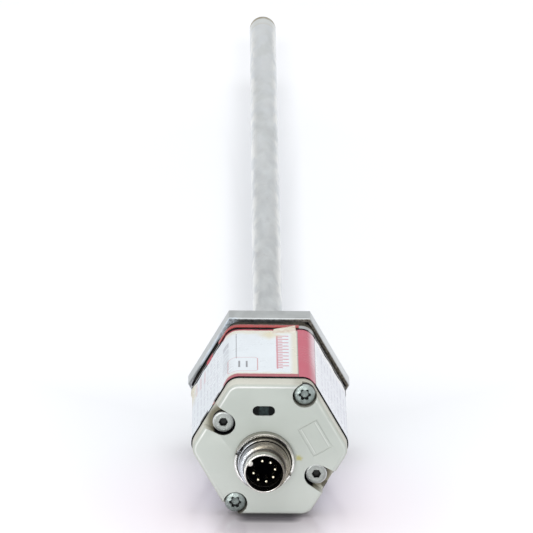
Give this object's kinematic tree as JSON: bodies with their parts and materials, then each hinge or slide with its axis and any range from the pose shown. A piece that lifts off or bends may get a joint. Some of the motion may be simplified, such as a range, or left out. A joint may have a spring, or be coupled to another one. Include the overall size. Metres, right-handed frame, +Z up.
{
  "type": "magnetostrictive position sensor",
  "caption": "Rod-style linear position sensor: hexagonal electronics head with round pin connector and status window, threaded hexagonal flange and long closed pressure rod.",
  "frame": {"origin": "centre of the flange's seating face, on the axis of the rod and its thread", "axes": "+Y along the rod from the seating face to the closed tip, -Y towards the connector lid, +Z up with the hexagon's flats at top and bottom, +X to the right seen from the lid"},
  "size_m": [0.0532, 0.4997, 0.046],
  "materials": {
    "flange_steel": "satin stainless, faint turning marks",
    "rod_steel": "dull stainless, blotchy handling marks",
    "weld_steel": "stainless plug with a straw-coloured weld seam",
    "black_rubber": "matte black elastomer",
    "plate_metal": "bare machined aluminium",
    "red_film": "thin red film, worn",
    "housing_metal": "bare extruded aluminium",
    "label_foil": "white printed foil with a pink-red edge band, yellowed in places",
    "lid_cast": "pale grey-green cast lid, satin, edges worn cream",
    "window_dark": "dark glossy light guide",
    "screw_steel": "bright zinc-plated steel",
    "connector_nickel": "nickel plated, faintly brown in the grooves",
    "insert_black": "black moulded insulator",
    "pin_gold": "pale gold-plated pins",
    "board_green": "green solder mask",
    "chip_black": "black moulded packages",
    "part_grey": "can and ferrite bodies",
    "header_black": "black pin header",
    "flex_amber": "amber flexible strip",
    "lamp_clear": "clear lamp bodies",
    "brass": "machined brass",
    "tube_plastic": "translucent inner tube",
    "waveguide_wire": "nickel-iron wire",
    "copper": "bare copper wire",
    "damper_rubber": "soft grey damper",
    "carrier_plastic": "moulded carrier",
    "coil_copper": "enamelled copper winding",
    "magnet_grey": "sintered magnet"
  },
  "bodies": {
    "root": {"mounting_flange": "flange_steel", "rod_tube": "rod_steel", "rod_end_plug": "weld_steel", "neck_seal": "black_rubber", "flange_gasket": "black_rubber", "base_plate": "plate_metal", "base_plate_film": "red_film", "base_plate_screws": "screw_steel", "rear_gasket": "black_rubber", "housing": "housing_metal", "label_wrap": "label_foil", "front_gasket": "black_rubber", "connector_lid": "lid_cast", "status_window": "window_dark", "long_screws": "screw_steel", "lid_screws": "screw_steel", "connector_shell": "connector_nickel", "connector_seal": "black_rubber", "connector_ring_nut": "connector_nickel", "connector_insert": "insert_black", "connector_pins": "pin_gold", "connector_board": "board_green", "connector_flex": "flex_amber", "signal_board": "board_green", "power_board": "board_green", "signal_chips": "chip_black", "power_parts": "part_grey", "board_header": "header_black", "lamp_block": "header_black", "status_lamps": "lamp_clear", "element_nut": "brass", "guide_tube": "tube_plastic", "tube_spacers": "damper_rubber", "waveguide": "waveguide_wire", "return_wire": "copper", "return_terminal": "brass", "end_link": "brass", "end_damper": "damper_rubber", "element_carrier": "carrier_plastic", "carrier_screws": "screw_steel", "waveguide_clamp": "brass", "near_damper": "damper_rubber", "pickup_tape": "waveguide_wire", "pickup_coils": "coil_copper", "bias_magnet": "magnet_grey"}
  },
  "joints": []
}
